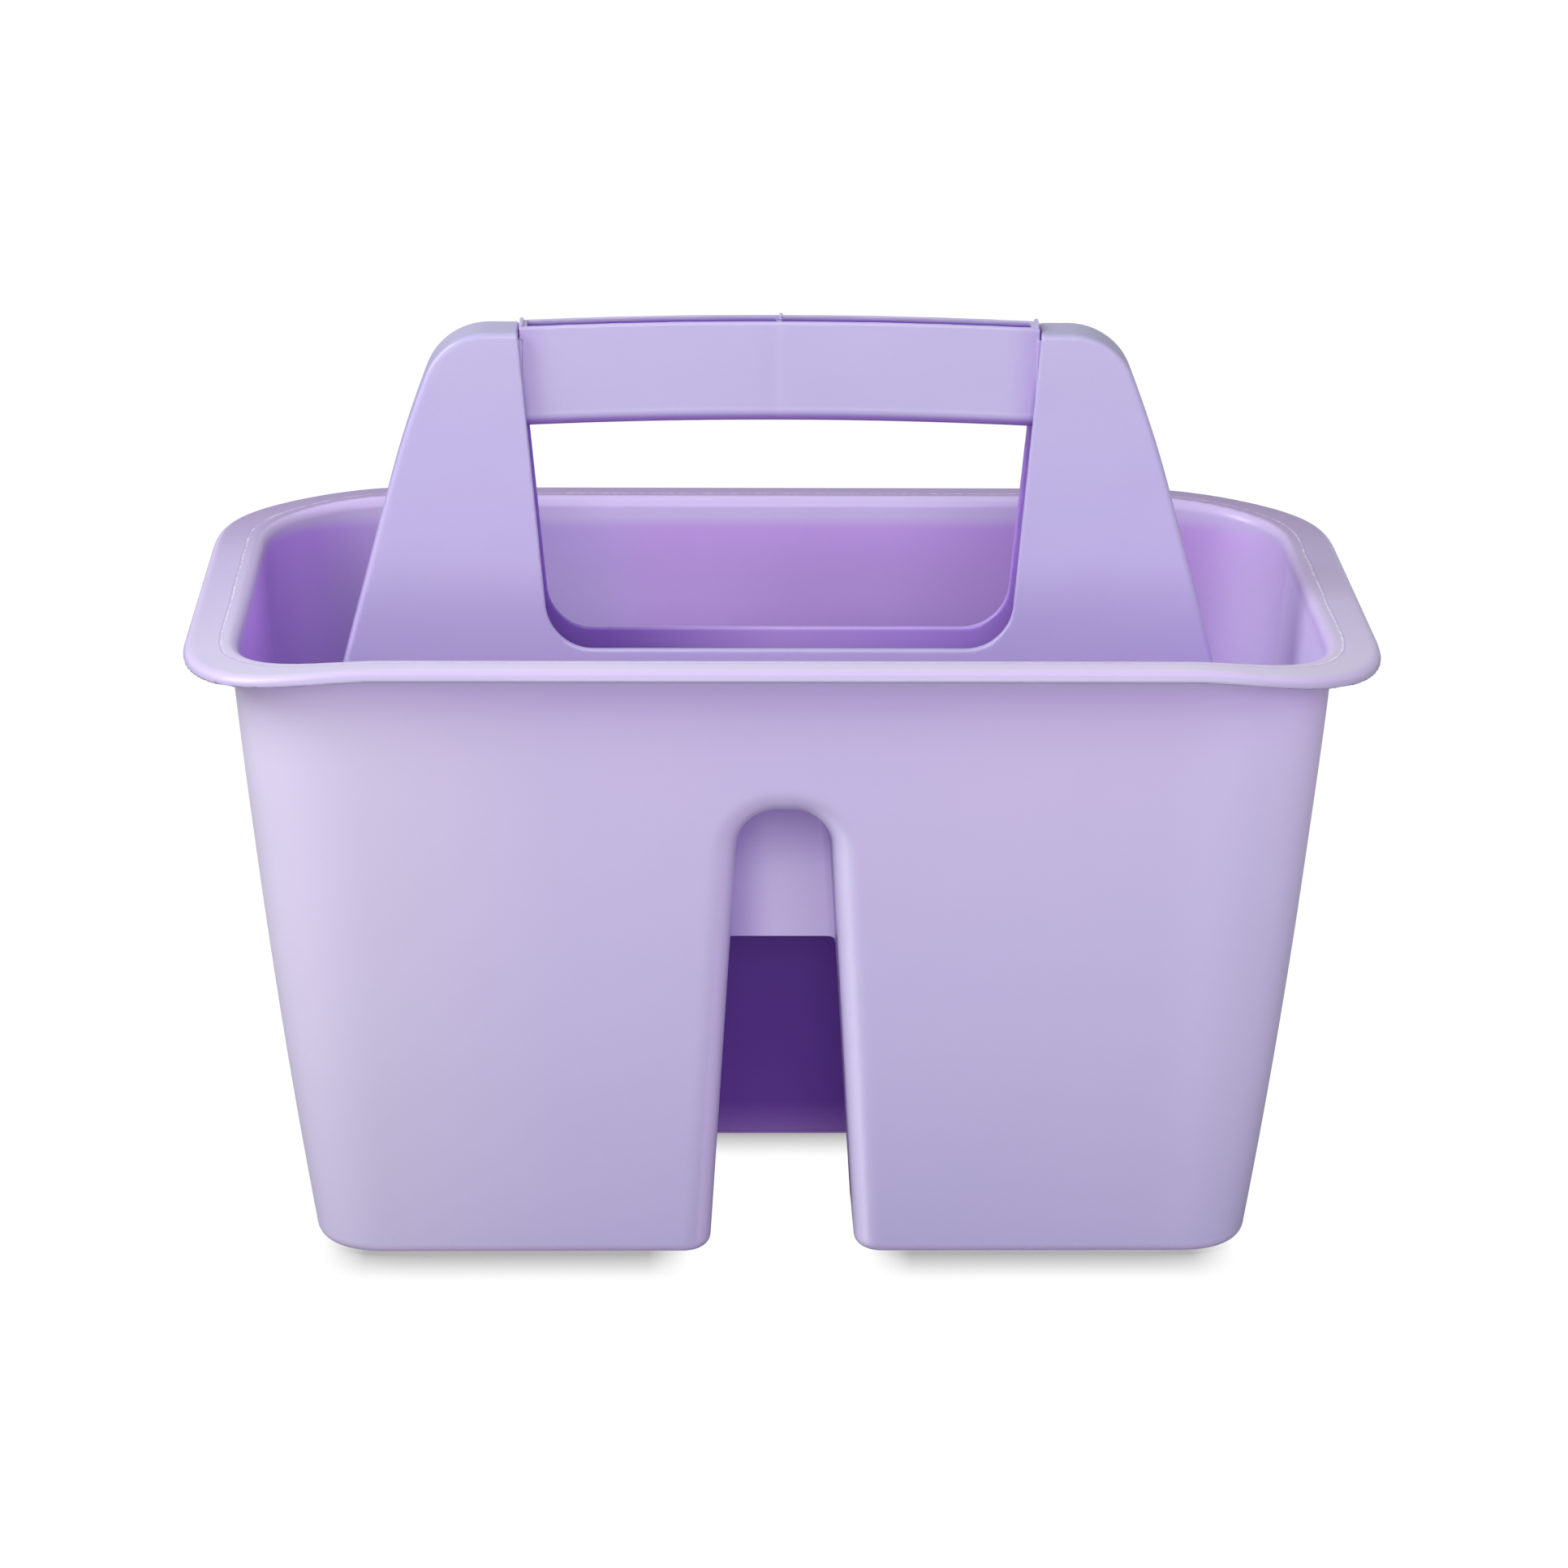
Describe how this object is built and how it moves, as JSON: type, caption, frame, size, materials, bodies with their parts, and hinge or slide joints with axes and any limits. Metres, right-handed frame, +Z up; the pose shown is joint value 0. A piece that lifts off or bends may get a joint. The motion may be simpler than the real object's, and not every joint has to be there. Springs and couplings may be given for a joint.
{
  "type": "cleaning caddy",
  "caption": "Open carrying caddy: tapered tub split into bins by a hollow spine that rises into a fixed arched handle with a channel grip.",
  "frame": {"origin": "centre of the flat resting face under the tub", "axes": "+Z up, +X along the long side of the tub and along the grip, -Y is the front face with the arched notch"},
  "size_m": [0.3018, 0.1786, 0.2339],
  "materials": {
    "tub_plastic": "satin-gloss injection-moulded polypropylene, lilac, slightly translucent",
    "handle_plastic": "satin-gloss injection-moulded polypropylene, lilac, slightly translucent",
    "grip_plastic": "satin-gloss injection-moulded polypropylene, lilac, slightly translucent, with cut-off burrs on its webs"
  },
  "bodies": {
    "root": {"tub": "tub_plastic", "handle_frame": "handle_plastic", "grip_channel": "grip_plastic"}
  },
  "joints": []
}
